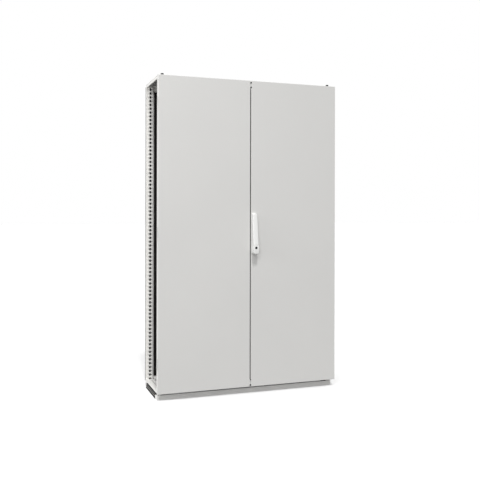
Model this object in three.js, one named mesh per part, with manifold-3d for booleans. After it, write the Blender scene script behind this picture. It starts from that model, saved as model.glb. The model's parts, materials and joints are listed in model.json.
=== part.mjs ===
// Two-door free-standing industrial switchboard cabinet, baying type, sides open.
// Millimetres, +Z up, doors facing -Y. The origin is the centre of the bounding box's underside.
// Layout from front to back: swing handle, door skins, door frames and seals, frame of stepped
// hollow sections, mounting plate, rear panel. A low base frame carries it.
import * as THREE from "three";
import { mergeVertices } from "three/addons/utils/BufferGeometryUtils.js";
import Module from "manifold-3d";

const wasm = await Module();
wasm.setup();

// ---- driving dimensions ----
const WIDTH = 1200; // overall width, doors and roof
const HEIGHT = 2000; // floor to roof sheet
const DEPTH = 400; // door skin front to rear panel outside, handle not counted
const HANDLE_OUT = 44; // how far the handle stands in front of the door skin
const Y_SHIFT = -(DEPTH - HANDLE_OUT) / 2; // moves the bounding box's middle onto the origin

const BASE_H = 40; // base frame height
const BASE_SET = 44; // base front face behind the door skin
const BASE_W = 30; // base member width
const BASE_RIM = 27; // height of the base's outer rim, below the land that the frame stands on
const GAP = 0.3; // between neighbouring solids

const FRAME_X = 597; // frame half width
const FRAME_Y0 = 31; // frame front plane
const FRAME_Y1 = 390; // frame rear plane
const FRAME_Z0 = 40.3; // frame underside
const FRAME_Z1 = 1997.7; // frame top
const SEC = 46; // section size
const NOSE = 18; // section's outer nose
const STEP = 8; // depth of the step behind the nose
const SIDE_STEP = 12; // the same on the uprights' side faces
const LOW = 18; // height of the side members
const SILL = 30; // height of the bottom front and rear members
const CHAM = 9; // inner corner chamfer
const WALL = 1.5; // section wall
const BOLT_X = 32; // roof bolts from the frame's sides
const BOLT_Y = 20; // and from its front and rear

const DOOR_Z0 = 44;
const DOOR_Z1 = 1998;
const DOOR_D = 24; // door pan depth
const DOOR_T = 2; // door skin
const DOOR_GAP = 3; // half the gap between the doors
const LIP = 10; // return lip of the pan
const AXIS_IN = 12; // hinge axis from the door's outer edge, and from its front
const HINGE_Z = [220, 1020, 1820];
const HINGE_H = 40; // height of the frame-side knuckle
const LUG_H = 11;
const PIN_R = 3.5;
const BORE_R = 3.7;

const RING_OUT = 28; // door frame member from the door's outer edge
const RING_W = 20;
const RING_T = 1.5;
const RING_C = 48; // door frame's middle member, from the cabinet's centre line
const RING_Z0 = 70;
const RING_Z1 = 1970;
const SEAL_W = 12;

const HX = 23.5; // handle, lock and rods from the cabinet's centre line
const HANDLE_W = 36;
const HANDLE_Z0 = 893;
const HANDLE_Z1 = 1155;
const PLATE_T = 4; // handle base plate thickness
const TURN_Z = 1141; // height of the handle's turning axis
const TILT_Y = -13.5; // depth of the lever's tilting pin
const LEVER_R = 9; // round upper end of the lever
const LEVER_END = 192; // turning axis to the lever's lower end
const LOCK_Z = 932; // lock insert
const ROD_X = 23.5;
const ROD_Y0 = 26;
const ROD_Y1 = 31.5;
const ROD_W = 14;
const ROD_TIP = 1938; // upper rod's top when locked
const ROD_FOOT = 102; // lower rod's bottom when locked
const ROD_TRAVEL = 18;

const PLATE_Y = 328; // mounting plate's front
const PLATE_X = 530;
const PLATE_Z0 = 130;
const PLATE_Z1 = 1910;

// ---- helpers ----
function solid(geometry) {
  const g = geometry.clone();
  g.deleteAttribute("normal");
  g.deleteAttribute("uv");
  const m = mergeVertices(g, 1e-4);
  return new wasm.Manifold(
    new wasm.Mesh({
      numProp: 3,
      vertProperties: new Float32Array(m.getAttribute("position").array),
      triVerts: new Uint32Array(m.index.array),
    }),
  );
}
function box(x0, x1, y0, y1, z0, z1) {
  const g = new THREE.BoxGeometry(x1 - x0, y1 - y0, z1 - z0);
  g.translate((x0 + x1) / 2, (y0 + y1) / 2, (z0 + z1) / 2);
  return solid(g);
}
function extruded(points, depth) {
  const shape = new THREE.Shape(points.map(([u, v]) => new THREE.Vector2(u, v)));
  return new THREE.ExtrudeGeometry(shape, { depth, bevelEnabled: false });
}
// An outline in (x, y) along Z, in (x, z) along Y, and in (y, z) along X.
const SWAP_Y = new THREE.Matrix4().set(0, 1, 0, 0, 0, 0, 1, 0, 1, 0, 0, 0, 0, 0, 0, 1);
const SWAP_X = new THREE.Matrix4().set(0, 0, 1, 0, 1, 0, 0, 0, 0, 1, 0, 0, 0, 0, 0, 1);
function prismZ(points, z0, z1, holes = []) {
  const g = extruded(points, z1 - z0);
  g.translate(0, 0, z0);
  return holes.reduce((s, h) => s.subtract(prismZ(h, z0 - 1, z1 + 1)), solid(g));
}
function prismY(points, y0, y1, holes = []) {
  const g = extruded(points.map(([x, z]) => [z, x]), y1 - y0);
  g.applyMatrix4(SWAP_Y);
  g.translate(0, y0, 0);
  return holes.reduce((s, h) => s.subtract(prismY(h, y0 - 1, y1 + 1)), solid(g));
}
function prismX(points, x0, x1, holes = []) {
  const g = extruded(points, x1 - x0);
  g.applyMatrix4(SWAP_X);
  g.translate(x0, 0, 0);
  return holes.reduce((s, h) => s.subtract(prismX(h, x0 - 1, x1 + 1)), solid(g));
}
function circle(cx, cy, r, n = 16, from = 0, to = 2 * Math.PI) {
  const full = Math.abs(to - from - 2 * Math.PI) < 1e-9;
  const count = full ? n : n + 1;
  return Array.from({ length: count }, (_, i) => {
    const a = from + ((to - from) * i) / n;
    return [cx + r * Math.cos(a), cy + r * Math.sin(a)];
  });
}
const cylZ = (x, y, r, z0, z1, n = 16) => prismZ(circle(x, y, r, n), z0, z1);
const cylY = (x, z, r, y0, y1, n = 16) => prismY(circle(x, z, r, n), y0, y1);
const cylX = (y, z, r, x0, x1, n = 16) => prismX(circle(y, z, r, n), x0, x1);
const join = (...s) => s.reduce((a, b) => a.add(b));
const cut = (a, ...s) => s.reduce((c, b) => c.subtract(b), a);

const PAINT = new THREE.MeshStandardMaterial({ color: 0xcfd0cc, roughness: 0.55, metalness: 0.1 });
const FRAME_PAINT = new THREE.MeshStandardMaterial({ color: 0xd6d5d1, roughness: 0.5, metalness: 0.1 });
const ZINC = new THREE.MeshStandardMaterial({ color: 0xb4b6b6, roughness: 0.4, metalness: 0.85 });
const BASE = new THREE.MeshStandardMaterial({ color: 0x9b9b97, roughness: 0.55, metalness: 0.3 });
const BLACK = new THREE.MeshStandardMaterial({ color: 0x1b1b1b, roughness: 0.85, metalness: 0 });
const HANDLE = new THREE.MeshStandardMaterial({ color: 0xe9e9e6, roughness: 0.4, metalness: 0 });
const STEEL = new THREE.MeshStandardMaterial({ color: 0x8d8f90, roughness: 0.35, metalness: 0.9 });

const cabinet = new THREE.Group();
cabinet.position.y = Y_SHIFT;
function assembly() {
  const g = new THREE.Group();
  cabinet.add(g);
  return g;
}
const frameGroup = assembly();
const leftDoor = assembly();
const rightDoor = assembly();
const handleGroup = assembly();

// Adds a solid as a named mesh whose geometry is centred on its own box and placed by its position.
function add(group, name, made, material) {
  const m = made.getMesh();
  const position = new Float32Array(m.numVert * 3);
  for (let i = 0; i < m.numVert; i++)
    position.set(m.vertProperties.subarray(i * m.numProp, i * m.numProp + 3), i * 3);
  const g = new THREE.BufferGeometry()
    .setAttribute("position", new THREE.BufferAttribute(position, 3))
    .setIndex(new THREE.BufferAttribute(new Uint32Array(m.triVerts), 1));
  g.computeBoundingBox();
  const c = g.boundingBox.getCenter(new THREE.Vector3()).round();
  g.translate(-c.x, -c.y, -c.z);
  g.computeVertexNormals();
  const mesh = new THREE.Mesh(g, material);
  mesh.name = name;
  mesh.position.copy(c);
  group.add(mesh);
  return mesh;
}

// ---- frame section: square nose on the outer corner, stepped back on both sides, chamfered inside ----
const section = (side, size) => [
  [0, 0], [NOSE, 0], [NOSE, STEP], [SEC, STEP], [SEC, size - CHAM],
  [SEC - CHAM, size], [side, size], [side, NOSE], [0, NOSE],
];
const w = WALL, k = WALL * (Math.SQRT2 - 1);
const hollow = (side, size) => [
  [w, w], [NOSE - w, w], [NOSE - w, STEP + w], [SEC - w, STEP + w], [SEC - w, size - CHAM - k],
  [SEC - CHAM - k, size - w], [side + w, size - w], [side + w, NOSE - w], [w, NOSE - w],
];
const GROWN = [
  [-1, -1], [NOSE + GAP, -1], [NOSE + GAP, STEP - GAP], [SEC + GAP, STEP - GAP], [SEC + GAP, SEC - CHAM + 0.12],
  [SEC - CHAM + 0.12, SEC + GAP], [SIDE_STEP - GAP, SEC + GAP], [SIDE_STEP - GAP, NOSE + GAP], [-1, NOSE + GAP],
];
// The side members are low and flat: the nose with a shelf behind it.
const SIDE = [[0, 0], [NOSE, 0], [NOSE, STEP], [SEC, STEP], [SEC, LOW], [0, LOW]];
const SIDE_HOLLOW = [[w, w], [NOSE - w, w], [NOSE - w, STEP + w], [SEC - w, STEP + w], [SEC - w, LOW - w], [w, LOW - w]];
const map = (pts, f) => pts.map(([a, b]) => f(a, b));

// ---- uprights ----
const corner = (sx, rear) => (a, b) => [sx * (FRAME_X - a), rear ? FRAME_Y1 - b : FRAME_Y0 + b];
const corners = {
  front_left: corner(-1, false), front_right: corner(1, false),
  rear_left: corner(-1, true), rear_right: corner(1, true),
};
const grownPosts = [];
for (const [where, f] of Object.entries(corners)) {
  const [bx, by] = f(BOLT_X, BOLT_Y);
  add(frameGroup, "post_" + where,
    cut(prismZ(map(section(SIDE_STEP, SEC), f), FRAME_Z0, FRAME_Z1), prismZ(map(hollow(SIDE_STEP, SEC), f), FRAME_Z0 - 1, FRAME_Z1 - 4),
      cylZ(bx, by, 6.6, FRAME_Z1 - 10, FRAME_Z1 + 5, 12)), FRAME_PAINT);
  grownPosts.push(prismZ(map(GROWN, f), FRAME_Z0 - 5, FRAME_Z1 + 5));
}

// ---- cross members, notched round the uprights: the same section at the top, lower at the bottom and the sides ----
for (const top of [true, false]) {
  const zf = (b) => (top ? FRAME_Z1 - b : FRAME_Z0 + b);
  const level = top ? "top" : "bottom", size = top ? SEC : SILL;
  for (const rear of [false, true]) {
    const f = (a, b) => [rear ? FRAME_Y1 - a : FRAME_Y0 + a, zf(b)];
    const long = prismX(map(section(STEP, size), f), -(FRAME_X - NOSE - GAP), FRAME_X - NOSE - GAP, [map(hollow(STEP, size), f)]);
    add(frameGroup, `${level}_rail_${rear ? "rear" : "front"}`, cut(long, ...grownPosts), FRAME_PAINT);
  }
  for (const sx of [-1, 1]) {
    const f = (a, b) => [sx * (FRAME_X - a), zf(b)];
    const side = prismY(map(SIDE, f), FRAME_Y0 + SEC + GAP, FRAME_Y1 - SEC - GAP, [map(SIDE_HOLLOW, f)]);
    // The nose runs on over the uprights' recessed faces, up to their own noses.
    const nose = (y0, y1) => {
      const [x0, x1] = [sx * FRAME_X, sx * (FRAME_X - SIDE_STEP + GAP)].sort((p, q) => p - q);
      const [z0, z1] = [zf(0), zf(LOW)].sort((p, q) => p - q);
      return box(x0, x1, y0, y1, z0, z1);
    };
    add(frameGroup, `${level}_rail_${sx < 0 ? "left" : "right"}`, join(cut(side, ...grownPosts),
      nose(FRAME_Y0 + NOSE + GAP, FRAME_Y0 + SEC + 2), nose(FRAME_Y1 - SEC - 2, FRAME_Y1 - NOSE - GAP)), FRAME_PAINT);
  }
}

// ---- roof sheet, turned down at the front and rear and flush with the open sides, and its four corner bolts ----
const boltAt = [[-1, false], [1, false], [-1, true], [1, true]].map(([sx, rear]) => [
  sx * (FRAME_X - BOLT_X), rear ? FRAME_Y1 - BOLT_Y : FRAME_Y0 + BOLT_Y, `${rear ? "rear" : "front"}_${sx < 0 ? "left" : "right"}`,
]);
add(frameGroup, "roof_plate",
  cut(box(-FRAME_X, FRAME_X, FRAME_Y0 - 1.6, FRAME_Y1 + 1.6, 1986, HEIGHT),
    box(-FRAME_X - 5, FRAME_X + 5, FRAME_Y0 - 0.3, FRAME_Y1 + 0.3, 1980, HEIGHT - 2),
    ...boltAt.map(([x, y]) => cylZ(x, y, 6.6, 1990, 2010, 12))), PAINT);
for (const [x, y, where] of boltAt)
  add(frameGroup, "roof_bolt_" + where,
    join(cylZ(x, y, 12, HEIGHT + GAP, HEIGHT + 3.5, 16), cylZ(x, y, 9.5, HEIGHT + 3, HEIGHT + 14.8, 16),
      cylZ(x, y, 6.2, HEIGHT - 32, HEIGHT + 1, 12)), BLACK);

// ---- rear panel: pan with turned-forward edges ----
add(frameGroup, "rear_panel",
  cut(box(-598, 598, FRAME_Y1 + GAP, DEPTH, FRAME_Z0 + 1, 1985.5),
    box(-596.5, 596.5, FRAME_Y1 - 5, DEPTH - 1.5, FRAME_Z0 + 2.5, 1984)), PAINT);

// ---- mounting plate: edges folded back, ears up to the rear top member, feet on the bottom plate ----
{
  const y1 = FRAME_Y1 - SEC - GAP;
  let plate = cut(box(-PLATE_X, PLATE_X, PLATE_Y, y1, PLATE_Z0, PLATE_Z1),
    box(-PLATE_X + 2.5, PLATE_X - 2.5, PLATE_Y + 2.5, y1 + 5, PLATE_Z0 + 2.5, PLATE_Z1 - 2.5));
  for (const sx of [-1, 1]) {
    const [x0, x1] = [sx * 420, sx * 480].sort((p, q) => p - q);
    const floor = FRAME_Z0 + SILL + GAP + 2 + GAP;
    plate = join(plate, box(x0, x1, y1 - 2.5, y1, PLATE_Z1 - 6, FRAME_Z1 - 20), box(x0, x1, y1 - 2.5, y1, floor, PLATE_Z0 + 6),
      box(x0, x1, y1 - 24, y1, floor, floor + 2.5));
  }
  add(frameGroup, "mounting_plate", plate, ZINC);
}

// ---- bottom plate, resting on the front and rear cross members ----
add(frameGroup, "bottom_plate",
  box(-530, 530, FRAME_Y0 + 16, FRAME_Y1 - 16, FRAME_Z0 + SILL + GAP, FRAME_Z0 + SILL + GAP + 2), ZINC);

// ---- base frame: front and rear members with rounded ends and a raised land under the frame, side channels between them ----
const BR = 24;
function baseBar(front) {
  const y0 = front ? BASE_SET : DEPTH - 4 - BASE_W, y1 = y0 + BASE_W;
  const outer = front
    ? [...circle(-600 + BR, y0 + BR, BR, 6, Math.PI, 1.5 * Math.PI), ...circle(600 - BR, y0 + BR, BR, 6, 1.5 * Math.PI, 2 * Math.PI), [600, y1], [-600, y1]]
    : [[-600, y0], [600, y0], ...circle(600 - BR, y1 - BR, BR, 6, 0, Math.PI / 2), ...circle(-600 + BR, y1 - BR, BR, 6, Math.PI / 2, Math.PI)];
  const bar = join(prismZ(outer, 0, BASE_RIM), box(-588, 588, front ? y0 + 9 : y0, front ? y1 : y1 - 9, BASE_RIM - 5, BASE_H));
  const inside = front ? box(-570, 570, y0 + 2.5, y1 + 5, 2.5, BASE_H - 2.5) : box(-570, 570, y0 - 5, y1 - 2.5, 2.5, BASE_H - 2.5);
  return cut(bar, inside);
}
add(frameGroup, "base_front", baseBar(true), BASE);
add(frameGroup, "base_rear", baseBar(false), BASE);
for (const sx of [-1, 1]) {
  // Ribbed channel, open outwards: top, middle and bottom flanges on an inner web.
  const o = 600, i = 600 - BASE_W, t = 2.5;
  const pts = [
    [o, 0], [o, t], [i + t, t], [i + t, 10.5], [o - 2, 10.5], [o - 2, 15.5], [i + t, 15.5],
    [i + t, BASE_RIM - t], [o - 2, BASE_RIM - t], [o - 2, BASE_RIM], [i + 8, BASE_RIM], [i + 8, BASE_H], [i, BASE_H], [i, 0],
  ].map(([x, z]) => [sx * x, z]);
  add(frameGroup, "base_" + (sx < 0 ? "left" : "right"),
    prismY(pts, BASE_SET + BASE_W + GAP, DEPTH - 4 - BASE_W - GAP), BASE);
}

// ---- strikers under the top and over the bottom cross members, notched for the rod tips ----
for (const top of [true, false]) {
  const z0 = top ? 1926 : FRAME_Z0 + SILL + GAP + 2 + GAP, z1 = top ? FRAME_Z1 - SEC - GAP : 112;
  const yb = 52;
  const plate = join(box(-44, 44, yb - 2.5, yb, z0, z1),
    top ? box(-44, 44, yb - 2.5, yb + 20, z1 - 2.5, z1) : box(-44, 44, yb - 2.5, yb + 20, z0, z0 + 2.5),
    ...[-1, 1].flatMap((s) => [
      box(s * ROD_X - ROD_W / 2 - 6, s * ROD_X - ROD_W / 2 - 3, 34, yb - 1, top ? z0 : z0 + 14, top ? z1 - 6 : z1),
      box(s * ROD_X + ROD_W / 2 + 3, s * ROD_X + ROD_W / 2 + 6, 34, yb - 1, top ? z0 : z0 + 14, top ? z1 - 6 : z1),
    ]));
  add(frameGroup, top ? "striker_top" : "striker_bottom", plate, ZINC);
}

// ---- hinges and doors ----
// Points relative to the hinge axis, x towards the cabinet's middle and y to the rear.
const AX = WIDTH / 2 - AXIS_IN;
const hinged = (s) => (x, y) => [s * (AX - x), AXIS_IN + y];
for (const s of [-1, 1]) {
  const side = s < 0 ? "left" : "right";
  const f = hinged(s);
  const door = s < 0 ? leftDoor : rightDoor;
  const xs = (p, q) => [s * p, s * q].sort((a, b) => a - b);
  const sideBox = (p, q, y0, y1, z0, z1) => { const [a, b] = xs(p, q); return box(a, b, y0, y1, z0, z1); };

  // Frame-side brackets, door-side leaves and pins
  const levels = ["lower", "middle", "upper"];
  HINGE_Z.forEach((z, n) => {
    const h = HINGE_H / 2;
    const arm = [[5.2, -4], [12, 2], [12, 18.7], [-8, 18.7], [-8, 17.3], [4, 17.3], [4, 9], [0.5, 6.5], [0.5, 0]];
    const bracket = cut(
      join(prismZ(circle(0, 0, 7, 12).map(([x, y]) => f(x, y)), z - h, z + h), prismZ(map(arm, f), z - h, z + h)),
      prismZ(circle(0, 0, BORE_R, 12).map(([x, y]) => f(x, y)), z - h - 1, z + h + 1));
    add(frameGroup, `hinge_bracket_${side}_${levels[n]}`, bracket, ZINC);
    const lug = [[-6, 1], [-6, -9.6], [15.4, -9.6], [15.4, -6], [6, 3], [3, 6.2], [-3, 6.2]];
    const z0 = z - h - GAP - LUG_H, z1 = z + h + GAP;
    const leaf = cut(
      join(prismZ(map(lug, f), z0, z0 + LUG_H), prismZ(map(lug, f), z1, z1 + LUG_H),
        prismZ(map([[8, -9.6], [15.4, -9.6], [15.4, -7.6], [8, -7.6]], f), z0, z1 + LUG_H)),
      prismZ(circle(0, 0, BORE_R, 12).map(([x, y]) => f(x, y)), z0 - 1, z1 + LUG_H + 1));
    add(door, `hinge_leaf_${side}_${levels[n]}`, leaf, ZINC);
    add(door, `hinge_pin_${side}_${levels[n]}`,
      prismZ(circle(0, 0, PIN_R, 12).map(([x, y]) => f(x, y)), z0 - 3, z1 + LUG_H + 3), STEEL);
  });

  // Door pan: skin, four edges and a return lip, cut away at the hinges
  let pan = cut(sideBox(DOOR_GAP, 600, 0, DOOR_D, DOOR_Z0, DOOR_Z1),
    sideBox(DOOR_GAP + DOOR_T, 600 - DOOR_T, DOOR_T, DOOR_D - DOOR_T, DOOR_Z0 + DOOR_T, DOOR_Z1 - DOOR_T),
    sideBox(DOOR_GAP + LIP, 600 - LIP, DOOR_T + 1, DOOR_D + 5, DOOR_Z0 + LIP, DOOR_Z1 - LIP));
  for (const z of HINGE_Z)
    pan = cut(pan, sideBox(600 - 16, 610, DOOR_T, DOOR_D + 5, z - 38, z + 38));
  if (s > 0)
    pan = cut(pan, cylY(HX, TURN_Z, 9, -5, 10, 12), cylY(HX, LOCK_Z, 9, -5, 10, 12));
  add(door, `door_panel_${side}`, pan, PAINT);

  // Door frame: channel members open towards the skin
  const y0 = DOOR_T + GAP, y1 = DOOR_D;
  const members = [
    [600 - RING_OUT - RING_W, 600 - RING_OUT, RING_Z0, RING_Z1],
    [RING_C, RING_C + RING_W, RING_Z0, RING_Z1],
    [16, 600 - RING_OUT, RING_Z1 - RING_W, RING_Z1],
    [16, 600 - RING_OUT, RING_Z0, RING_Z0 + RING_W],
  ];
  const bars = members.map(([a, b, c, d]) => sideBox(a, b, y0, y1, c, d));
  const insides = members.map(([a, b, c, d]) => sideBox(a + RING_T, b - RING_T, y0 - 5, y1 - RING_T, c + RING_T, d - RING_T));
  const guides = (s < 0 ? [160, 350, 1690, 1880] : [160, 350, 740, 1400, 1690, 1880]).map((z) =>
    join(sideBox(13.5, 50, ROD_Y1 + 1, ROD_Y1 + 2.5, z - 10, z + 10), sideBox(RING_C, RING_C + 2, y1 - 1, ROD_Y1 + 2.5, z - 10, z + 10)));
  add(door, `door_frame_${side}`, join(cut(join(...bars), ...insides), ...guides), ZINC);

  // Seal on the back of the door frame: hinge side, top and bottom
  const so = 600 - RING_OUT - 4, sy0 = DOOR_D + GAP, sy1 = FRAME_Y0 + STEP - GAP;
  const seal = cut(sideBox(5, so, sy0, sy1, RING_Z0, RING_Z1),
    sideBox(0, so - SEAL_W, sy0 - 5, sy1 + 5, RING_Z0 + SEAL_W, RING_Z1 - SEAL_W));
  add(door, `door_seal_${side}`, seal, BLACK);
}

// Rubber strip that closes the gap between the doors, fixed to the right door's edge
add(rightDoor, "centre_seal", box(-2.5, 2.7, 4.5, 19, 92, 1944), BLACK);

// ---- slide bolts of the left door ----
for (const top of [true, false]) {
  const z = top ? [1640, ROD_TIP] : [ROD_FOOT, 400];
  const kz = top ? 1652 : 388;
  add(leftDoor, top ? "left_bolt_upper" : "left_bolt_lower",
    join(box(-ROD_X - ROD_W / 2, -ROD_X + ROD_W / 2, ROD_Y0, ROD_Y1, z[0], z[1]),
      box(-ROD_X - 5, -ROD_X + 5, ROD_Y1 - 1, ROD_Y1 + 14, kz - 8, kz + 8),
      box(-ROD_X - 3, -ROD_X + 3, ROD_Y1 - 1, 46, top ? ROD_TIP - 9 : ROD_FOOT, top ? ROD_TIP : ROD_FOOT + 9)), ZINC);
}

// ---- handle ----
{
  const x0 = HX - HANDLE_W / 2, x1 = HX + HANDLE_W / 2;
  const rt = 17.5, rb = 10;
  // Base plate with a lock housing at its foot
  const plate = [
    ...circle(x0 + rb, HANDLE_Z0 + rb, rb, 4, Math.PI, 1.5 * Math.PI),
    ...circle(x1 - rb, HANDLE_Z0 + rb, rb, 4, 1.5 * Math.PI, 2 * Math.PI),
    ...circle(x1 - rt, HANDLE_Z1 - rt, rt, 5, 0, Math.PI / 2),
    ...circle(x0 + rt, HANDLE_Z1 - rt, rt, 5, Math.PI / 2, Math.PI),
  ];
  const housing = [
    [HX + 17, HANDLE_Z0 + 70], [HX - 17, HANDLE_Z0 + 70],
    ...circle(x0 + rb + 1, HANDLE_Z0 + rb + 1, rb, 4, Math.PI, 1.5 * Math.PI),
    ...circle(x1 - rb - 1, HANDLE_Z0 + rb + 1, rb, 4, 1.5 * Math.PI, 2 * Math.PI),
  ];
  const base = cut(
    join(prismY(plate, -GAP - PLATE_T, -GAP),
      cut(prismY(housing, -HANDLE_OUT, -GAP - PLATE_T + 1), cylY(HX, TURN_Z, LEVER_END + 0.8, -50, -GAP - PLATE_T - 0.2, 240))),
    cylY(HX, TURN_Z, 7.3, -20, 5, 16),
    cylY(HX, LOCK_Z, 8.8, -50, -10, 20));
  add(handleGroup, "handle_base", base, HANDLE);

  // Turret: shaft through the door, head between the lever's cheeks, and the lever's fixed pin
  const turret = join(
    cylY(HX, TURN_Z, 7, -8, 24, 16),
    prismX([...circle(TILT_Y, TURN_Z, 6.5, 8, Math.PI / 2, 1.5 * Math.PI), [-GAP - PLATE_T - 0.4, TURN_Z - 6.5], [-GAP - PLATE_T - 0.4, TURN_Z + 6.5]], HX - 7, HX + 7),
    cylX(TILT_Y, TURN_Z, 2.9, HX - 15, HX + 15, 12));
  add(handleGroup, "handle_turret", turret, STEEL);

  // Lever: round upper end about the tilting pin, growing thicker towards the foot
  const back = -GAP - PLATE_T - 0.4;
  const side = [
    ...circle(TILT_Y, TURN_Z, LEVER_R, 12, 0, Math.PI),
    [-HANDLE_OUT, TURN_Z - LEVER_END], [-HANDLE_OUT, TURN_Z - LEVER_END - 5], [back, TURN_Z - LEVER_END - 5],
  ];
  side[0] = [back, TURN_Z];
  const body = prismX(side, HX - 17, HX + 17);
  const outline = [
    [HX - 17, TURN_Z - LEVER_END - 10], [HX + 17, TURN_Z - LEVER_END - 10], [HX + 17, TURN_Z - 70],
    ...circle(HX, TURN_Z - 5, 16.5, 12, 0, Math.PI), [HX - 17, TURN_Z - 70],
  ];
  const pocket = join(
    prismX([...circle(TILT_Y, TURN_Z, 7.1, 8, Math.PI / 2, 1.5 * Math.PI), [0, TURN_Z - 7.1], [0, TURN_Z + 20], [TILT_Y, TURN_Z + 20]], HX - 7.5, HX + 7.5),
    box(HX - 7.5, HX + 7.5, TILT_Y - 2.5, 0, TURN_Z + 3, TURN_Z + 20));
  const lever = cut(
    body.intersect(prismY(outline, -60, 0)).intersect(cylY(HX, TURN_Z, LEVER_END, -60, 0, 240)),
    pocket, cylX(TILT_Y, TURN_Z, 3.1, HX - 20, HX + 20, 12));
  add(handleGroup, "handle_lever", lever, HANDLE);

  // Lock insert: round plug with a recess and a two-winged key post
  add(handleGroup, "lock_insert", join(
    cut(cylY(HX, LOCK_Z, 8.4, -HANDLE_OUT + 0.6, -10.5, 20), cylY(HX, LOCK_Z, 6.4, -HANDLE_OUT - 2, -HANDLE_OUT + 12, 16)),
    cylY(HX, LOCK_Z, 2.2, -HANDLE_OUT + 2, -20, 10), box(HX - 4.2, HX + 4.2, -HANDLE_OUT + 4, -20, LOCK_Z - 0.9, LOCK_Z + 0.9)), STEEL);

  // Gearbox behind the skin, with the rods running past it
  const g0 = HX - 10, g1 = HX + 18, gz0 = TURN_Z - 34, gz1 = TURN_Z + 34;
  const gear = cut(
    join(box(g0, g1, DOOR_T + GAP, ROD_Y0 - GAP, gz0, gz1),
      box(g0, ROD_X - ROD_W / 2 - 1, ROD_Y0 - 1, ROD_Y1 + 2.5, gz0, gz1),
      box(ROD_X + ROD_W / 2 + 1, g1, ROD_Y0 - 1, ROD_Y1 + 2.5, gz0, gz1),
      box(g0, g1, ROD_Y1 + 1, ROD_Y1 + 2.5, gz0, gz1)),
    cylY(HX, TURN_Z, 7.3, -5, ROD_Y0 - 1, 16));
  add(handleGroup, "lock_gearbox", gear, ZINC);

  // Lock rods: flat bars, each with a catch nose at its far end
  add(handleGroup, "lock_rod_upper", join(
    box(ROD_X - ROD_W / 2, ROD_X + ROD_W / 2, ROD_Y0, ROD_Y1, TURN_Z + 20, ROD_TIP),
    box(ROD_X - 3, ROD_X + 3, ROD_Y1 - 1, 46, ROD_TIP - 9, ROD_TIP)), ZINC);
  add(handleGroup, "lock_rod_lower", join(
    box(ROD_X - ROD_W / 2, ROD_X + ROD_W / 2, ROD_Y0, ROD_Y1, ROD_FOOT, TURN_Z - 20),
    box(ROD_X - 3, ROD_X + 3, ROD_Y1 - 1, 46, ROD_FOOT, ROD_FOOT + 9)), ZINC);
}

export default cabinet;
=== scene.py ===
"""Two-door switchboard cabinet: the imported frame, with detailed skins, perforated frame sections, handle and materials."""
import json
import math

import bmesh
import bpy
from mathutils import Matrix, Vector


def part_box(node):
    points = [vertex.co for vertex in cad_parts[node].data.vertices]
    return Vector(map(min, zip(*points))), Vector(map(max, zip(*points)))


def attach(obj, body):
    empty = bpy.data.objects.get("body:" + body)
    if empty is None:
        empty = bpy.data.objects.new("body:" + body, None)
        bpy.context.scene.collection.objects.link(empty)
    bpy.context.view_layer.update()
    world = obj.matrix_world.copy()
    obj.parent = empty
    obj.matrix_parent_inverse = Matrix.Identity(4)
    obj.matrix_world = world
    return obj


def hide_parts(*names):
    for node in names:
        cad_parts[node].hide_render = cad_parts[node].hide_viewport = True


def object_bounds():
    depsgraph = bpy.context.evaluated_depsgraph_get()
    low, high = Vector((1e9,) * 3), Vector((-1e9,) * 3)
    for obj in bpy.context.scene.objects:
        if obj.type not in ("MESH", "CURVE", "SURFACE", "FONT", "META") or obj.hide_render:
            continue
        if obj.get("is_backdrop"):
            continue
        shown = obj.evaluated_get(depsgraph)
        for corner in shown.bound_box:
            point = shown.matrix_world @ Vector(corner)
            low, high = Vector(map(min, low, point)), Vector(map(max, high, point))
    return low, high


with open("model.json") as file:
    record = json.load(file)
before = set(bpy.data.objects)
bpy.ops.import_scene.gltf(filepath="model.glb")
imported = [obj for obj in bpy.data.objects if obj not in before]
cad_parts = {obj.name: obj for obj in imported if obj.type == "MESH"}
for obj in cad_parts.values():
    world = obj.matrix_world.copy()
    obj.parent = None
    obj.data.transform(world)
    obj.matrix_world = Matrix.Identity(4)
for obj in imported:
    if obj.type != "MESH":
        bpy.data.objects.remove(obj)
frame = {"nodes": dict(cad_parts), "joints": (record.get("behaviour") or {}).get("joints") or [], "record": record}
CAD_LO, CAD_HI = [list(v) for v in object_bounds()]
NODES = frame["nodes"]
BODY = {n: b for b, ns in frame["record"]["behaviour"]["bodies"].items() for n in ns}
SLOT = {s["node"]: s["material_slot"] for s in frame["record"]["subparts"]}
MM = 0.001


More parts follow.
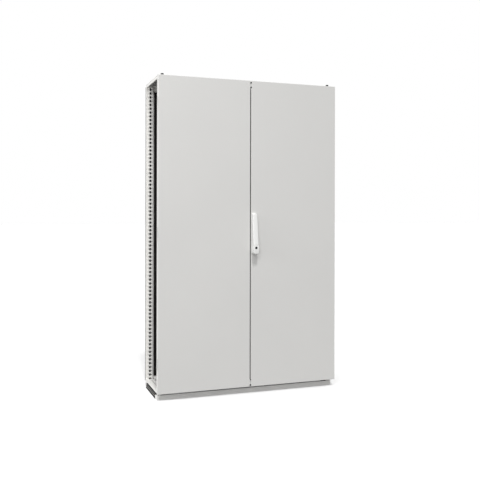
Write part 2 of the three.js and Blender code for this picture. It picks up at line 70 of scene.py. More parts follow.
# ---------------------------------------------------------------- materials
def material(name, color, rough, metal=0.0, grain=900.0, bump=0.06, dist=0.0002, vary=0.035, rough_vary=0.08,
             blotch=5.0, spangle=0.0, brushed=0.0, coat=0.0, spec=0.5):
    m = bpy.data.materials.new(name)
    m.use_nodes = True
    nt = m.node_tree
    n, link = nt.nodes, nt.links.new
    bsdf = n["Principled BSDF"]
    bsdf.inputs["Metallic"].default_value = metal
    bsdf.inputs["Coat Weight"].default_value = coat
    bsdf.inputs["Specular IOR Level"].default_value = spec
    tc = n.new("ShaderNodeTexCoord")
    big = n.new("ShaderNodeTexNoise")
    big.inputs["Scale"].default_value = blotch
    big.inputs["Detail"].default_value = 5
    link(tc.outputs["Object"], big.inputs["Vector"])
    ramp = n.new("ShaderNodeMapRange")
    ramp.inputs["From Min"].default_value, ramp.inputs["From Max"].default_value = 0.3, 0.7
    ramp.inputs["To Min"].default_value, ramp.inputs["To Max"].default_value = 1 - vary, 1 + vary
    link(big.outputs["Fac"], ramp.inputs["Value"])
    shade = n.new("ShaderNodeVectorMath")
    shade.operation = "SCALE"
    shade.inputs[0].default_value = color
    link(ramp.outputs["Result"], shade.inputs["Scale"])
    out = shade.outputs["Vector"]
    if spangle:  # crystal pattern of zinc
        vor = n.new("ShaderNodeTexVoronoi")
        vor.inputs["Scale"].default_value = 110
        link(tc.outputs["Object"], vor.inputs["Vector"])
        bw = n.new("ShaderNodeRGBToBW")
        link(vor.outputs["Color"], bw.inputs["Color"])
        r2 = n.new("ShaderNodeMapRange")
        r2.inputs["To Min"].default_value, r2.inputs["To Max"].default_value = 1 - spangle, 1 + spangle
        link(bw.outputs["Val"], r2.inputs["Value"])
        s2 = n.new("ShaderNodeVectorMath")
        s2.operation = "SCALE"
        link(out, s2.inputs[0])
        link(r2.outputs["Result"], s2.inputs["Scale"])
        out = s2.outputs["Vector"]
    link(out, bsdf.inputs["Base Color"])
    fine = n.new("ShaderNodeTexNoise")
    fine.inputs["Scale"].default_value = grain
    fine.inputs["Detail"].default_value = 3
    if brushed:
        mp = n.new("ShaderNodeMapping")
        mp.inputs["Scale"].default_value = (1, 1, brushed)
        link(tc.outputs["Object"], mp.inputs["Vector"])
        link(mp.outputs["Vector"], fine.inputs["Vector"])
    else:
        link(tc.outputs["Object"], fine.inputs["Vector"])
    rr = n.new("ShaderNodeMapRange")
    rr.inputs["To Min"].default_value, rr.inputs["To Max"].default_value = rough - rough_vary, rough + rough_vary
    link(fine.outputs["Fac"], rr.inputs["Value"])
    link(rr.outputs["Result"], bsdf.inputs["Roughness"])
    b = n.new("ShaderNodeBump")
    b.inputs["Strength"].default_value = bump
    b.inputs["Distance"].default_value = dist
    link(fine.outputs["Fac"], b.inputs["Height"])
    link(b.outputs["Normal"], bsdf.inputs["Normal"])
    return m


MATS = {
    "door_paint": material("door_powder_coat", (0.66, 0.655, 0.64), 0.42, grain=520, bump=0.35, dist=0.0003, vary=0.012, blotch=2.2),
    "frame_paint": material("frame_powder_coat", (0.80, 0.79, 0.765), 0.40, grain=700, bump=0.2, vary=0.015),
    "zinc": material("zinc_plate", (0.60, 0.61, 0.62), 0.38, metal=0.85, grain=300, bump=0.12, vary=0.05, spangle=0.09),
    "pin_steel": material("bright_steel", (0.55, 0.56, 0.57), 0.27, metal=1.0, grain=900, bump=0.15, vary=0.04, brushed=0.05),
    # the base's own light grey, lifted further as painted light from below, since the floor sends no light back up
    "base_paint": material("base_powder_coat_and_painted_fill_light", (0.86, 0.855, 0.835), 0.48, grain=520, bump=0.3, vary=0.05, blotch=7),
    "black_rubber": material("seal_rubber", (0.035, 0.035, 0.035), 0.8, grain=1400, bump=0.6, vary=0.12, blotch=40, spec=0.3),
    # near-black inner faces of the frame sections: painted shade, so that the punched holes look dark
    "section_inside_painted_shade": material("section_inside_painted_shade", (0.045, 0.045, 0.045), 0.7, grain=500, bump=0.2, vary=0.2, blotch=30),
    "black_steel": material("blackened_steel", (0.03, 0.03, 0.032), 0.45, metal=0.6, grain=800, bump=0.2, vary=0.15),
    "handle_white": material("handle_plastic", (0.80, 0.80, 0.785), 0.38, grain=1800, bump=0.22, vary=0.01, rough_vary=0.05, coat=0.08),
}


def paint(obj, slot):
    obj.data.materials.clear()
    obj.data.materials.append(MATS[slot])


def smooth(obj, angle=32):
    for p in obj.data.polygons:
        p.use_smooth = True
    for e in obj.data.edges:
        e.use_edge_sharp = False
    bm = bmesh.new()
    bm.from_mesh(obj.data)
    for e in bm.edges:
        if len(e.link_faces) == 2 and e.calc_face_angle(0) > math.radians(angle):
            e.smooth = False
    bm.to_mesh(obj.data)
    bm.free()


def bevel(obj, width, segments=3, angle=30):
    b = obj.modifiers.new("bevel", "BEVEL")
    b.width, b.segments, b.limit_method = width, segments, "ANGLE"
    b.angle_limit = math.radians(angle)
    b.harden_normals = True
    return b


def apply_modifiers(obj):
    dg = bpy.context.evaluated_depsgraph_get()
    dg.update()
    mesh = bpy.data.meshes.new_from_object(obj.evaluated_get(dg))
    old = obj.data
    obj.modifiers.clear()
    obj.data = mesh
    bpy.data.meshes.remove(old)


def made(name, bm, node, slot=None, recalc=True):
    bmesh.ops.remove_doubles(bm, verts=bm.verts, dist=1e-6)
    if recalc:
        bmesh.ops.recalc_face_normals(bm, faces=bm.faces)
    mesh = bpy.data.meshes.new(name)
    bm.to_mesh(mesh)
    bm.free()
    obj = bpy.data.objects.new(name, mesh)
    bpy.context.scene.collection.objects.link(obj)
    slot = slot or SLOT[node]
    paint(obj, slot)
    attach(obj, BODY[node])
    return obj


# ---------------------------------------------------------------- perforated frame sections
SEC, NOSE, STEP, SIDE_STEP, CHAM, LOW, SILL = 46.0, 18.0, 8.0, 12.0, 9.0, 18.0, 30.0


def outline(side, size):
    return [(0, 0), (NOSE, 0), (NOSE, STEP), (SEC, STEP), (SEC, size - CHAM), (SEC - CHAM, size), (side, size), (side, NOSE), (0, NOSE)]


# holes on each face of a section: (distance along the face from its first point, "rect" w, h or "round" r)
SMALL = (9.0, "round", 1.7, 0)
POST = (outline(SIDE_STEP, SEC), {
    0: [SMALL], 2: [(8.5, "rect", 9.0, 12.5), (21.0, "round", 2.9, 0)], 3: [(10.5, "rect", 13.0, 15.0), (22.6, "round", 2.9, 0)],
    5: [(6.3, "round", 2.9, 0), (17.0, "rect", 12.8, 15.0)], 6: [(6.5, "round", 2.9, 0), (18.5, "rect", 12.5, 15.0)], 8: [SMALL]})
TOP = (outline(STEP, SEC), {
    0: [SMALL], 2: [(8.0, "rect", 9.0, 12.5), (21.0, "round", 2.9, 0)], 3: [(11.5, "rect", 12.5, 12.5), (23.6, "round", 2.9, 0)],
    5: [(5.4, "round", 2.9, 0), (17.5, "rect", 12.5, 12.5)], 6: [(7.0, "round", 2.9, 0), (20.0, "rect", 9.0, 12.5)], 8: [SMALL]})
BOTTOM = (outline(STEP, SILL), {
    0: [SMALL], 2: [(8.0, "rect", 9.0, 12.5), (21.0, "round", 2.9, 0)], 3: [(6.8, "round", 2.9, 0)],
    5: [(5.4, "round", 2.9, 0), (17.5, "rect", 12.5, 12.5)], 6: [(6.2, "round", 2.9, 0)], 8: [SMALL]})
SIDE = ([(0, 0), (NOSE, 0), (NOSE, STEP), (SEC, STEP), (SEC, LOW), (0, LOW)], {
    0: [SMALL], 2: [(14.0, "round", 2.9, 0)], 3: [(5.0, "round", 2.0, 0)],
    4: [(6.5, "round", 2.9, 0), (19.0, "rect", 11.0, 12.0), (32.0, "round", 2.9, 0)], 5: [SMALL]})
SIDE_TOP = (SIDE[0], {**SIDE[1], 4: [(21.5, "rect", 36.0, 20.5)], 5: []})


def section_mesh(bm, kind, length, at, pitch=25.0, first=None):
    """The section's open sheet from 0 to length along its axis; at(a, b, t) gives a point in metres."""
    OUTLINE, FACES = kind
    cells = int((length - 10) // pitch)
    margin = (length - cells * pitch) / 2 if first is None else first
    cache = {}

    def vert(a, b, t):
        key = (round(a, 4), round(b, 4), round(t, 4))
        if key not in cache:
            cache[key] = bm.verts.new(at(a, b, t))
        return cache[key]

    n = len(OUTLINE)
    for i in range(n):
        (a0, b0), (a1, b1) = OUTLINE[i], OUTLINE[(i + 1) % n]
        w = math.hypot(a1 - a0, b1 - b0)
        ua, ub = (a1 - a0) / w, (b1 - b0) / w

        def P(s, t):
            return vert(a0 + ua * s, b0 + ub * s, t)

        holes = FACES.get(i, [])
        # strips across the face, one a hole column
        cols = sorted(holes)
        cuts = [0.0]
        for c0, c1 in zip(cols, cols[1:]):
            h0 = c0[2] / 2 if c0[1] == "rect" else c0[2]
            h1 = c1[2] / 2 if c1[1] == "rect" else c1[2]
            cuts.append((c0[0] + h0 + c1[0] - h1) / 2)
        cuts.append(w)
        for k in range(max(1, len(cols))):
            s0, s1 = cuts[k], cuts[k + 1]
            bands = [(0.0, margin)] if cells else [(0.0, length)]
            bands += [(margin + c * pitch, margin + (c + 1) * pitch) for c in range(cells)]
            if cells:
                bands.append((margin + cells * pitch, length))
            for q, (t0, t1) in enumerate(bands):
                corner = [P(s0, t0), P(s1, t0), P(s1, t1), P(s0, t1)]
                if not cols or q == 0 or q == len(bands) - 1:
                    bm.faces.new(corner)
                    continue
                c, kind, p, h = cols[k]
                tm = (t0 + t1) / 2
                if kind == "rect":
                    x, y, r = p / 2, h / 2, min(p, h) * 0.16
                    ring = [(-x, -y + r), (-x + r, -y), (x - r, -y), (x, -y + r), (x, y - r), (x - r, y), (-x + r, y), (-x, y - r)]
                    ring = [(c + u, tm + v) for u, v in ring]
                else:
                    ring = [(c + p * math.cos(g), tm + p * math.sin(g)) for g in (math.radians(202.5 + 45 * j) for j in range(8))]
                R = [P(*z) for z in ring]
                # four trapezoids and four corner triangles between the cell and the hole
                for j, side in enumerate([(1, 2, 0, 1), (3, 4, 1, 2), (5, 6, 2, 3), (7, 0, 3, 0)]):
                    bm.faces.new([corner[side[2]], corner[side[3]], R[side[1]], R[side[0]]])
                for j, (u, v) in enumerate([(0, 1), (2, 3), (4, 5), (6, 7)]):
                    bm.faces.new([corner[j], R[v], R[u]])


def solid_box(bm, lo, hi):
    vs = [bm.verts.new((x, y, z)) for x in (lo[0], hi[0]) for y in (lo[1], hi[1]) for z in (lo[2], hi[2])]
    for f in ((0, 1, 3, 2), (4, 6, 7, 5), (0, 4, 5, 1), (2, 3, 7, 6), (0, 2, 6, 4), (1, 5, 7, 3)):
        bm.faces.new([vs[i] for i in f])


def section_piece(node, kind, length, at, first=None):
    bm = bmesh.new()
    section_mesh(bm, kind, length, at, first=first)
    o = made(node + "_punched", bm, node)
    s = o.modifiers.new("wall", "SOLIDIFY")
    s.thickness, s.offset, s.use_even_offset = 1.5 * MM, -1, True
    # the inner faces of the punched sheet take the near-black painted shade
    o.data.materials.append(MATS["section_inside_painted_shade"])
    s.material_offset, s.material_offset_rim = 1, 0
    apply_modifiers(o)
    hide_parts(node)
    return o


for where, sx, sy in (("front_left", -1, 1), ("front_right", 1, 1), ("rear_left", -1, -1), ("rear_right", 1, -1)):
    node = "post_" + where
    lo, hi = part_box(node)
    ox, oy = (lo.x if sx < 0 else hi.x), (lo.y if sy > 0 else hi.y)
    section_piece(node, POST, (hi.z - lo.z) / MM, lambda a, b, t: (ox - sx * a * MM, oy + sy * b * MM, lo.z + t * MM), first=10.2)

for level in ("top", "bottom"):
    for where in ("front", "rear", "left", "right"):
        node = f"{level}_rail_{where}"
        lo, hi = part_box(node)
        oz, sz = (hi.z, -1) if level == "top" else (lo.z, 1)
        if where in ("front", "rear"):
            oy, sy = (lo.y, 1) if where == "front" else (hi.y, -1)
            half = 550.7
            section_piece(node, TOP if level == "top" else BOTTOM, 2 * half, lambda a, b, t: ((t - half) * MM, oy + sy * a * MM, oz + sz * b * MM))
            bm = bmesh.new()
            for s in (-1, 1):
                xs = sorted((s * 550.4 * MM, s * 578.4 * MM))
                ys = sorted((oy, oy + sy * 7.7 * MM))
                zs = sorted((oz, oz + sz * NOSE * MM))
                solid_box(bm, (xs[0], ys[0], zs[0]), (xs[1], ys[1], zs[1]))
            tab = made(node + "_ends", bm, node)
            bevel(tab, 0.6 * MM, 2)
            apply_modifiers(tab)
        else:
            ox, sx = (lo.x, 1) if where == "left" else (hi.x, -1)
            y0, y1 = lo.y + 28 * MM, hi.y - 28 * MM
            section_piece(node, SIDE_TOP if level == "top" else SIDE, (y1 - y0) / MM, lambda a, b, t: (ox + sx * a * MM, y0 + t * MM, oz + sz * b * MM))
            bm = bmesh.new()
            for p0, p1 in ((lo.y, y0 + 0.3 * MM), (y1 - 0.3 * MM, hi.y)):
                xs, zs = sorted((ox, ox + sx * 11.7 * MM)), sorted((oz, oz + sz * LOW * MM))
                solid_box(bm, (xs[0], p0, zs[0]), (xs[1], p1, zs[1]))
            tab = made(node + "_noses", bm, node)
            bevel(tab, 0.6 * MM, 2)
            apply_modifiers(tab)


# ---------------------------------------------------------------- door skins: folded pans with rounded folds
def door(side):
    node = "door_panel_" + side
    lo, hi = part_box(node)
    hinge_x = lo.x if side == "left" else hi.x
    r, r2, lip, t = 3.0 * MM, 2.6 * MM, 10 * MM, 2 * MM
    y0, y1 = lo.y, hi.y
    cuts = []
    for lv in ("lower", "middle", "upper"):
        z = sum(c.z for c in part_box(f"hinge_leaf_{side}_{lv}")) / 2
        cuts += [z - 38 * MM, z + 38 * MM]
    rings = []  # (inset, y)
    for k in range(6):
        a = math.pi / 2 * k / 5
        rings.append((r - r * math.sin(a), y0 + r - r * math.cos(a)))
    rings.append((0.0, y0 + 2 * t))
    for k in range(5):
        a = math.pi / 2 * k / 4
        rings.append((r2 - r2 * math.cos(a), y1 - r2 + r2 * math.sin(a)))
    rings.append((lip, y1))
    bm = bmesh.new()
    loops = []
    for inset, y in rings:
        x0, x1, z0, z1 = lo.x + inset, hi.x - inset, lo.z + inset, hi.z - inset
        zs = [z0] + cuts + [z1]
        loop = [(x0, z) for z in reversed(zs)] if hinge_x == lo.x else [(x0, z1), (x0, z0)]
        loop += [(x1, z) for z in zs] if hinge_x == hi.x else [(x1, z0), (x1, z1)]
        loops.append([bm.verts.new((x, y, z)) for x, z in loop])
    bm.faces.new(loops[0])
    n = len(loops[0])
    for k in range(len(loops) - 1):
        A, B = loops[k], loops[k + 1]
        for i in range(n):
            j = (i + 1) % n
            on_side = abs(A[i].co.x - A[j].co.x) < 1e-9 and abs(A[i].co.x - hinge_x) < lip + 1e-6
            mid = (A[i].co.z + A[j].co.z) / 2
            hole = on_side and any(cuts[2 * q] < mid < cuts[2 * q + 1] for q in range(3))
            if hole and rings[k][1] > y0 + t:
                continue
            bm.faces.new([A[i], A[j], B[j], B[i]])
    for v in [v for v in bm.verts if not v.link_faces]:
        bm.verts.remove(v)
    bmesh.ops.recalc_face_normals(bm, faces=bm.faces)
    front = max(bm.faces, key=lambda f: f.calc_area())
    if front.normal.y > 0:
        bmesh.ops.reverse_faces(bm, faces=bm.faces)
    o = made(node + "_skin", bm, node, recalc=False)
    s = o.modifiers.new("wall", "SOLIDIFY")
    s.thickness, s.offset, s.use_even_offset = t, -1, True
    apply_modifiers(o)
    smooth(o, 28)
    w = o.modifiers.new("weighted", "WEIGHTED_NORMAL")
    w.keep_sharp = True
    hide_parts(node)


door("left")
door("right")


# ---------------------------------------------------------------- handle
def prism(bm, pts, y0, y1):
    """A closed solid from an outline in (x, z), between y0 and y1."""
    A = [bm.verts.new((x, y0, z)) for x, z in pts]
    B = [bm.verts.new((x, y1, z)) for x, z in pts]
    bm.faces.new(A)
    bm.faces.new(list(reversed(B)))
    for i in range(len(pts)):
        j = (i + 1) % len(pts)
        bm.faces.new([A[i], B[i], B[j], A[j]])


def arc(cx, cz, r, a0, a1, n):
    return [(cx + r * math.cos(a0 + (a1 - a0) * k / n), cz + r * math.sin(a0 + (a1 - a0) * k / n)) for k in range(n + 1)]


JOINT = {j["name"]: Vector(j["pos_m"]) for j in frame["joints"] if j.get("pos_m")}
turn, tilt, key = JOINT["handle_turn"], JOINT["handle_tilt"], JOINT["key_turn"]
blo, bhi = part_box("handle_base")
llo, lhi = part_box("handle_lever")
HX = turn.x
back = blo.y  # front of the lock housing
skin = turn.y

bm = bmesh.new()
rt, rb = 17.5 * MM, 10 * MM
plate = (arc(blo.x + rb, blo.z + rb, rb, math.pi, 1.5 * math.pi, 12) + arc(bhi.x - rb, blo.z + rb, rb, 1.5 * math.pi, 2 * math.pi, 12)
         + arc(bhi.x - rt, bhi.z - rt, rt, 0, math.pi / 2, 16) + arc(blo.x + rt, bhi.z - rt, rt, math.pi / 2, math.pi, 16))
prism(bm, plate, bhi.y, bhi.y - 4 * MM)
o = made("handle_back_plate", bm, "handle_base")
bevel(o, 1.2 * MM, 4, 40)
apply_modifiers(o)
smooth(o)
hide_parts("handle_base")

R = 192.8 * MM
bm = bmesh.new()
dx = 17 * MM
a = math.asin(dx / R)
top = [(HX + R * math.sin(g), turn.z - R * math.cos(g)) for g in [a - 2 * a * k / 24 for k in range(25)]]
foot = arc(blo.x + rb + MM, blo.z + rb + MM, rb, math.pi, 1.5 * math.pi, 12) + arc(bhi.x - rb - MM, blo.z + rb + MM, rb, 1.5 * math.pi, 2 * math.pi, 12)
prism(bm, top + foot, bhi.y - 3.8 * MM, back)
o = made("handle_lock_housing", bm, "handle_base")
cutter_bm = bmesh.new()
bmesh.ops.create_cone(cutter_bm, cap_ends=True, segments=64, radius1=8.8 * MM, radius2=8.8 * MM, depth=60 * MM,
                      matrix=Matrix.Translation((key.x, back - 4 * MM, key.z)) @ Matrix.Rotation(math.pi / 2, 4, "X"))
cm = bpy.data.meshes.new("cutter")
cutter_bm.to_mesh(cm)
cutter_bm.free()
cutter = bpy.data.objects.new("cutter", cm)
bpy.context.scene.collection.objects.link(cutter)
bevel(o, 2.6 * MM, 5, 40)
bo = o.modifiers.new("lock", "BOOLEAN")
bo.operation, bo.object, bo.solver = "DIFFERENCE", cutter, "EXACT"
apply_modifiers(o)
bpy.data.objects.remove(cutter)
smooth(o, 35)

# Lever: a lofted wedge with a rounded front, arched at the top and hollowed to an arc at the foot
bm = bmesh.new()
half, arch = 17 * MM, 15 * MM
RL = 192 * MM
zc = turn.z - 3.5 * MM
ztop = zc + arch - 2.9 * MM
back_plane = skin - 4.7 * MM
rows = 72
cross = 28
loops = []
for i in range(rows + 1):
    u = i / rows
    z = (turn.z - RL) + (ztop - (turn.z - RL)) * (1 - (1 - u) ** 1.6)
    if z > zc:
        w = math.sqrt(max(arch ** 2 - (z - zc) ** 2, (3 * MM) ** 2))
    else:
        w = half - (half - arch) * max(0.0, 1 - (zc - z) / (66 * MM))
    s = min(1.0, max(0.0, (turn.z - z) / RL))
    yf = (tilt.y - 9 * MM) * (1 - s) + back * s
    if z > turn.z:
        yf = tilt.y - math.sqrt(max((9.0 * MM) ** 2 - ((z - turn.z) * 0.72) ** 2, (3 * MM) ** 2))
    # above the pin the back is round about it, so that the lever can tilt
    yb = min(back_plane, tilt.y + math.sqrt(max((8.8 * MM) ** 2 - (z - tilt.z) ** 2, 0))) if z > tilt.z else back_plane
    edge = min(6.5 * MM, (yb - yf) * 0.6, w * 0.9)
    pts = [(-w, yb)]
    for k in range(9):
        g = math.pi / 2 * k / 8
        pts.append((-w + edge - edge * math.cos(g), yf + edge - edge * math.sin(g)))
    for k in range(1, 8):
        pts.append((-(w - edge) + 2 * (w - edge) * k / 8, yf - 0.35 * MM * math.sin(math.pi * k / 8)))
    for k in range(9):
        g = math.pi / 2 * (1 - k / 8)
        pts.append((w - edge + edge * math.cos(g), yf + edge - edge * math.sin(g)))
    pts.append((w, yb))
    ring = []
    for x, y in pts:
        sag = RL - math.sqrt(RL * RL - x * x)
        fade = max(0.0, 1 - (z - (turn.z - RL)) / (20 * MM))
        yy = max(y, back)
        ring.append(bm.verts.new((HX + x, yy, z + sag * fade)))
    loops.append(ring)
for A, B in zip(loops, loops[1:]):
    for i in range(len(A)):
        j = (i + 1) % len(A)
        bm.faces.new([A[i], A[j], B[j], B[i]])
bm.faces.new(loops[0])
bm.faces.new(list(reversed(loops[-1])))
o = made("handle_lever_shell", bm, "handle_lever")
cutter_bm = bmesh.new()
ty, tz = tilt.y, tilt.z
yz = [(ty + 7.3 * MM * math.cos(math.radians(90 + 180 * k / 16)), tz + 7.3 * MM * math.sin(math.radians(90 + 180 * k / 16))) for k in range(17)]
yz += [(skin, tz - 7.3 * MM), (skin, tz + 20 * MM), (ty - 2.5 * MM, tz + 20 * MM), (ty - 2.5 * MM, tz + 6.9 * MM)]
A = [cutter_bm.verts.new((HX - 7.6 * MM, y, z)) for y, z in yz]
B = [cutter_bm.verts.new((HX + 7.6 * MM, y, z)) for y, z in yz]
cutter_bm.faces.new(A)
cutter_bm.faces.new(list(reversed(B)))
for i in range(len(yz)):
    j = (i + 1) % len(yz)
    cutter_bm.faces.new([A[i], B[i], B[j], A[j]])
bmesh.ops.recalc_face_normals(cutter_bm, faces=cutter_bm.faces)
cm = bpy.data.meshes.new("cutter")
cutter_bm.to_mesh(cm)
cutter_bm.free()
cutter = bpy.data.objects.new("cutter", cm)
bpy.context.scene.collection.objects.link(cutter)
bo = o.modifiers.new("pocket", "BOOLEAN")
bo.operation, bo.object, bo.solver = "DIFFERENCE", cutter, "EXACT"
apply_modifiers(o)
bpy.data.objects.remove(cutter)
smooth(o, 50)
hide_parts("handle_lever")

# Lock insert: ring, dark bowl and double-bit post
profiles = {"lock_insert_turned": [(0, -12), (8.4, -12), (8.4, 21.6), (8.1, 22.2), (7.7, 22.2), (7.5, 21.9), (7.5, 7.5), (0, 7.5)],
            "lock_insert_bowl": [(0, 7.7), (7.4, 7.7), (7.4, 21.3), (7.1, 21.5), (6.9, 21.2), (6.8, 9.0), (0, 9.0)],
            "lock_insert_post": [(0, 8.8), (2.3, 8.8), (2.3, 17.4), (1.9, 18.0), (0, 18.0)]}
y_mid = back + 24 * MM
N = 64
for name, prof in profiles.items():
    bm = bmesh.new()
    rings = []
    for pr, py in prof:
        if pr == 0:
            rings.append([bm.verts.new((key.x, y_mid - py * MM, key.z))])
        else:
            rings.append([bm.verts.new((key.x + pr * MM * math.cos(2 * math.pi * k / N), y_mid - py * MM, key.z + pr * MM * math.sin(2 * math.pi * k / N))) for k in range(N)])
    for A, B in zip(rings, rings[1:]):
        for k in range(N):
            q = (k + 1) % N
            if len(A) == 1:
                bm.faces.new([A[0], B[k], B[q]])
            elif len(B) == 1:
                bm.faces.new([A[k], A[q], B[0]])
            else:
                bm.faces.new([A[k], A[q], B[q], B[k]])
    o = made(name, bm, "lock_insert", slot="pin_steel" if name == "lock_insert_turned" else "black_steel")
    smooth(o, 35)
    if name == "lock_insert_turned":
        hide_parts("lock_insert")
bm = bmesh.new()
solid_box(bm, (key.x - 4.4 * MM, y_mid - 16.5 * MM, key.z - 0.9 * MM), (key.x + 4.4 * MM, y_mid - 8.8 * MM, key.z + 0.9 * MM))
o = made("lock_insert_bits", bm, "lock_insert", slot="black_steel")
bevel(o, 0.3 * MM, 3)
apply_modifiers(o)

# ---------------------------------------------------------------- roof bolts: flanged hexagon heads
for where in ("front_left", "front_right", "rear_left", "rear_right"):
    node = "roof_bolt_" + where
    lo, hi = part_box(node)
    cx, cy = (lo.x + hi.x) / 2, (lo.y + hi.y) / 2
    z0 = hi.z - 14.5 * MM
    bm = bmesh.new()
    N = 48
    prof = [(0, -30), (5.4, -30), (6.2, -29), (6.2, 0), (12, 0), (12, 1.2), (11.3, 2.4), (9.9, 3.2)]
    rings = [[bm.verts.new((cx + r * MM * math.cos(2 * math.pi * k / N), cy + r * MM * math.sin(2 * math.pi * k / N), z0 + z * MM)) for k in range(N)] if r else
             [bm.verts.new((cx, cy, z0 + z * MM))] for r, z in prof]

    def hexr(k, apothem):
        g = (2 * math.pi * k / N) % (math.pi / 3) - math.pi / 6
        return apothem / math.cos(g)
    for z, f, lim in ((3.2, 8.6, 9.9), (12.9, 8.6, 9.9), (13.9, 8.6, 9.2), (14.5, 8.6, 8.4)):
        rings.append([bm.verts.new((cx + min(hexr(k, f), lim) * MM * math.cos(2 * math.pi * k / N), cy + min(hexr(k, f), lim) * MM * math.sin(2 * math.pi * k / N), z0 + z * MM)) for k in range(N)])
    rings.append([bm.verts.new((cx, cy, z0 + 14.5 * MM))])
    for A, B in zip(rings, rings[1:]):
        for k in range(N):
            q = (k + 1) % N
            if len(A) == 1:
                bm.faces.new([A[0], B[k], B[q]])
            elif len(B) == 1:
                bm.faces.new([A[k], A[q], B[0]])
            else:
                bm.faces.new([A[k], A[q], B[q], B[k]])
    o = made(node + "_hex", bm, node)
    smooth(o, 25)
    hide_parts(node)

# ---------------------------------------------------------------- end blocks of the centre seal: white blocks as painted light where the gap's walls catch light, black discs as painted shade
clo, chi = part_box("centre_seal")
for name, z0, z1, dots in (("upper", chi.z + 0.4 * MM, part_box("door_panel_right")[1].z - 3 * MM, ((1.9550, 4.8), (1.9850, 4.5))),
                           ("lower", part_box("door_panel_right")[0].z + 3 * MM, clo.z - 0.4 * MM, ((0.0885, 3.1), (0.0548, 4.4)))):
    bm = bmesh.new()
    solid_box(bm, (clo.x, clo.y + 1 * MM, z0), (chi.x, chi.y, z1))
    # white block standing in the gap: painted light where the doors' side walls catch light
    o = made("centre_seal_painted_light_block_" + name, bm, "centre_seal", slot="handle_white")
    bevel(o, 0.5 * MM, 3)
    apply_modifiers(o)
    smooth(o)
    # black discs at the dark spots by the blocks: painted shade of the gap
    for k, (zc_, rr_) in zip("ab", dots):
        bm = bmesh.new()
        prism(bm, arc((clo.x + chi.x) / 2 + 2.7 * MM, zc_, rr_ * MM, 0, 2 * math.pi * 23 / 24, 23), clo.y + 1.4 * MM, skin - 0.8 * MM)
        d = made(f"centre_seal_rivet_{name}_{k}", bm, "centre_seal", slot="black_steel")
        bevel(d, 0.4 * MM, 3)
        apply_modifiers(d)
        smooth(d)

# ---------------------------------------------------------------- carried-over nodes: edges and materials
WIDTHS = {"roof_plate": 0.5, "rear_panel": 0.5, "mounting_plate": 0.9, "bottom_plate": 0.6, "base_front": 1.2, "base_rear": 1.2,
          "base_left": 0.7, "base_right": 0.7, "centre_seal": 1.6, "door_seal_left": 3.5, "door_seal_right": 3.5}
def paint_shade_below(m, name, axis, limit, both=False):
    """The material is painted near black, as painted shade, where the coordinate (or its size, with both) is below a
    limit.
    """
    m = m.copy()
    m.name = name
    n, link = m.node_tree.nodes, m.node_tree.links.new
    bsdf = n["Principled BSDF"]
    old = bsdf.inputs["Base Color"].links[0].from_socket
    tc, sep, less, mix = n.new("ShaderNodeTexCoord"), n.new("ShaderNodeSeparateXYZ"), n.new("ShaderNodeMath"), n.new("ShaderNodeMix")
    less.operation = "LESS_THAN"
    less.inputs[1].default_value = limit
    mix.data_type = "RGBA"
    link(tc.outputs["Object"], sep.inputs[0])
    value = sep.outputs[axis]
    if both:
        size = n.new("ShaderNodeMath")
        size.operation = "ABSOLUTE"
        link(value, size.inputs[0])
        value = size.outputs[0]
    link(value, less.inputs[0])
    link(less.outputs[0], mix.inputs["Factor"])
    link(old, mix.inputs["A"])
    # near-black colour of the painted shade
    mix.inputs["B"].default_value = (0.02, 0.018, 0.017, 1)
    link(mix.outputs["Result"], bsdf.inputs["Base Color"])
    return m


for name, obj in NODES.items():
    paint(obj, SLOT[name])
    if name == "rear_panel":
        # the rear panel's inner face is painted near black: painted shade of the cabinet's interior
        obj.data.materials[0] = paint_shade_below(MATS["door_paint"], "rear_panel_dark_inside", "Y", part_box(name)[1].y - 0.7 * MM)
    if name in ("base_left", "base_right"):
        # base sides: the ribs' grey is darker than the base front's paint, as painted shade of the side recesses; the
        # web inside the outer face is painted near black as painted shade, and a strip at the foot as a painted contact
        # shadow
        ribs = material(name + "_ribs_painted_shade", (0.32, 0.31, 0.30), 0.55, grain=520, bump=0.3, vary=0.05, blotch=7, spec=0.15)
        inside = paint_shade_below(ribs, name + "_dark_inside", "X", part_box("base_right")[1].x - 3.2 * MM, both=True)
        obj.data.materials[0] = paint_shade_below(inside, name + "_foot_painted_shadow", "Z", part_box("base_right")[0].z + 4 * MM)
        obj.data.materials[0].node_tree.nodes["Principled BSDF"].inputs["Specular IOR Level"].default_value = 0.08
    bevel(obj, WIDTHS.get(name, 0.35) * MM, 3 if name in WIDTHS else 2, 35)

# ---------------------------------------------------------------- stage, light, camera
# A studio that is brightest behind the object and at its height, so that the lamps shape the doors
bpy.context.scene.view_settings.view_transform = "Standard"
world = bpy.data.worlds.new("studio")
bpy.context.scene.world = world
world.use_nodes = True
wn, wl = world.node_tree.nodes, world.node_tree.links.new
geo, sep = wn.new("ShaderNodeTexCoord"), wn.new("ShaderNodeSeparateXYZ")
wl(geo.outputs["Generated"], sep.inputs[0])
strength = None
for axis, start, end, dark, light in (("Y", -0.35, 0.35, 0.72, 1.05), ("Z", -0.35, -0.06, 0.28, 1.0), ("Z", 0.25, 0.85, 1.0, 0.5)):
    rng = wn.new("ShaderNodeMapRange")
    rng.interpolation_type = "SMOOTHSTEP"
    rng.inputs["From Min"].default_value, rng.inputs["From Max"].default_value = start, end
    rng.inputs["To Min"].default_value, rng.inputs["To Max"].default_value = dark, light
    wl(sep.outputs[axis], rng.inputs["Value"])
    if strength is None:
        strength = rng.outputs["Result"]
        continue
    times = wn.new("ShaderNodeMath")
    times.operation = "MULTIPLY"
    wl(strength, times.inputs[0])
    wl(rng.outputs["Result"], times.inputs[1])
    strength = times.outputs[0]
path, plain = wn.new("ShaderNodeLightPath"), wn.new("ShaderNodeMix")
wl(path.outputs["Is Camera Ray"], plain.inputs["Factor"])
wl(strength, plain.inputs["A"])
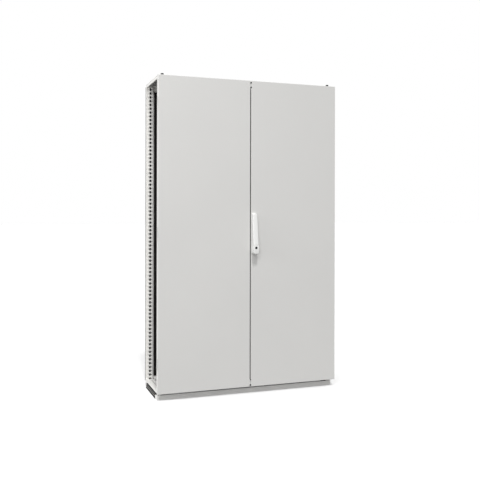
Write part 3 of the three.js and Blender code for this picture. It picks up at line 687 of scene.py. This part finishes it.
plain.inputs["B"].default_value = 1.0  # the backdrop itself is plain white all round
wl(plain.outputs["Result"], wn["Background"].inputs["Strength"])
wn["Background"].inputs["Color"].default_value = (1, 1, 1, 1)

bm = bmesh.new()
bmesh.ops.create_grid(bm, x_segments=1, y_segments=1, size=60)
fm = bpy.data.meshes.new("floor")
bm.to_mesh(fm)
bm.free()
floor = bpy.data.objects.new("floor", fm)
bpy.context.scene.collection.objects.link(floor)
floor.location.z = CAD_LO[2]
floor.data.materials.append(material("floor_pale", (0.97, 0.97, 0.97), 0.6, vary=0.0, bump=0.0))
floor.visible_diffuse = False  # the floor sends no light back up, as a dark studio floor
floor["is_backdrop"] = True


def area(name, loc, target, size, power):
    d = bpy.data.lights.new(name, "AREA")
    d.shape, d.size, d.energy = "SQUARE", size, power
    o = bpy.data.objects.new(name, d)
    bpy.context.scene.collection.objects.link(o)
    o.location = loc
    o.rotation_euler = (Vector(target) - Vector(loc)).to_track_quat("-Z", "Y").to_euler()


sun = bpy.data.lights.new("key", "SUN")
sun.energy, sun.angle = 1.9, math.radians(9)
sun_obj = bpy.data.objects.new("key", sun)
bpy.context.scene.collection.objects.link(sun_obj)
sun_obj.rotation_euler = Vector((0.14, 1.0, -1.75)).to_track_quat("-Z", "Y").to_euler()
area("upper_left", (-2.2, -3.4, 4.0), (0, 0, 1.1), 1.3, 57)
area("side", (-5.0, -0.6, 2.4), (0, 0, 1.0), 2.2, 70)

cam_data = bpy.data.cameras.new("camera")
cam = bpy.data.objects.new("camera", cam_data)
bpy.context.scene.collection.objects.link(cam)
cam_data.sensor_width, cam_data.lens = 36, 673.18 * 36 / 480
cam_data.shift_y = -(240 - 212.19) / 480
cam.location = (-1.4856, -4.2102, 1.1581)
cam.rotation_mode = "QUATERNION"
cam.rotation_quaternion = (Matrix.Rotation(-0.337263, 3, "Z") @ Matrix.Rotation(math.pi / 2, 3, "X") @ Matrix.Rotation(0.002048, 3, "Z")).to_quaternion()
bpy.context.scene.camera = cam

lo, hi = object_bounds()
